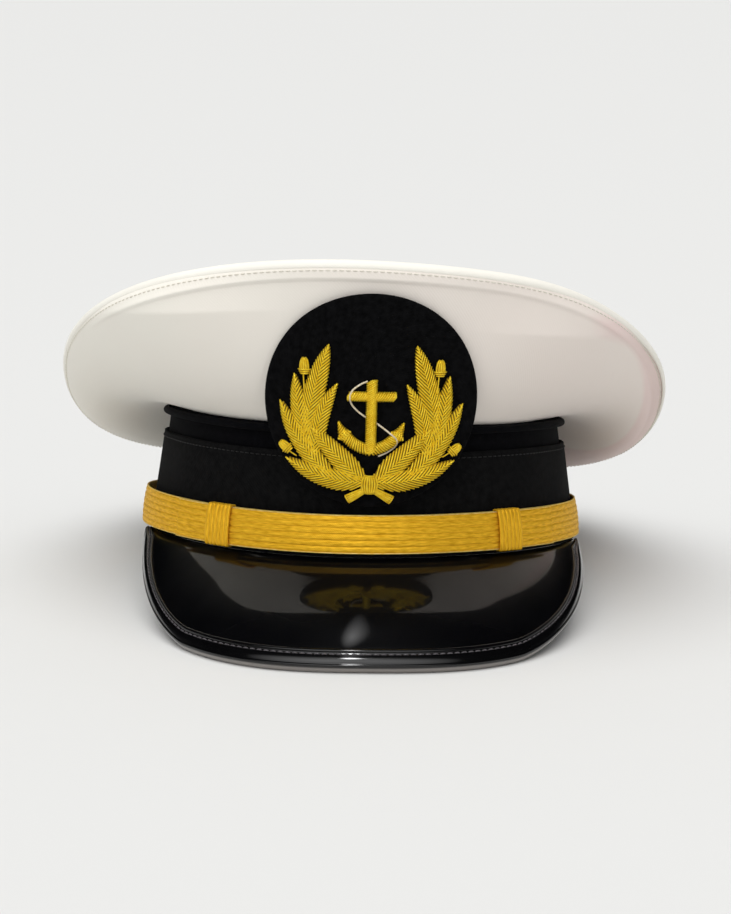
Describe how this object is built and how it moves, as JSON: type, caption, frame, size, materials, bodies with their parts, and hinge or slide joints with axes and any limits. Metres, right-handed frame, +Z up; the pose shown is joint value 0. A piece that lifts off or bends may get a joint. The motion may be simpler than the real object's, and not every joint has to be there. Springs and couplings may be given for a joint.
{
  "type": "peaked cap",
  "caption": "Naval officer's peaked cap with a white cloth crown swept up at the front, black band, patent leather peak, gold braid chin strap and a round wreath-and-anchor badge.",
  "frame": {"origin": "on the surface the cap rests on, under the middle of its width and length", "axes": "+Z up, the peak and badge towards -Y, the wearer's left towards +X (the viewer's right); the cap is tipped back as it rests on its peak's rim and the back of its band"},
  "size_m": [0.2514, 0.2852, 0.1463],
  "materials": {
    "crown_cloth": "smooth white woven cloth",
    "band_cloth": "matt black cloth",
    "piping_cloth": "smooth black cloth",
    "patent_leather": "black patent leather, mirror gloss",
    "gold_braid": "woven gold wire braid, satin",
    "gold_wire": "gold bullion wire embroidery, satin",
    "gilt": "gilt, polished",
    "badge_felt": "black felt"
  },
  "bodies": {
    "root": {"crown_side": "crown_cloth", "crown_top": "crown_cloth", "crown_welt": "crown_cloth", "band_inner": "band_cloth", "band_outer": "band_cloth", "band_piping": "piping_cloth", "peak": "patent_leather", "peak_binding": "patent_leather", "strap_under": "gold_braid", "strap_over": "gold_braid", "slider_left": "gold_braid", "slider_right": "gold_braid", "side_button_left": "gilt", "side_button_right": "gilt", "badge_patch": "badge_felt", "wreath_left": "gold_wire", "wreath_right": "gold_wire", "wreath_tie": "gold_wire", "anchor": "gold_wire"}
  },
  "joints": []
}
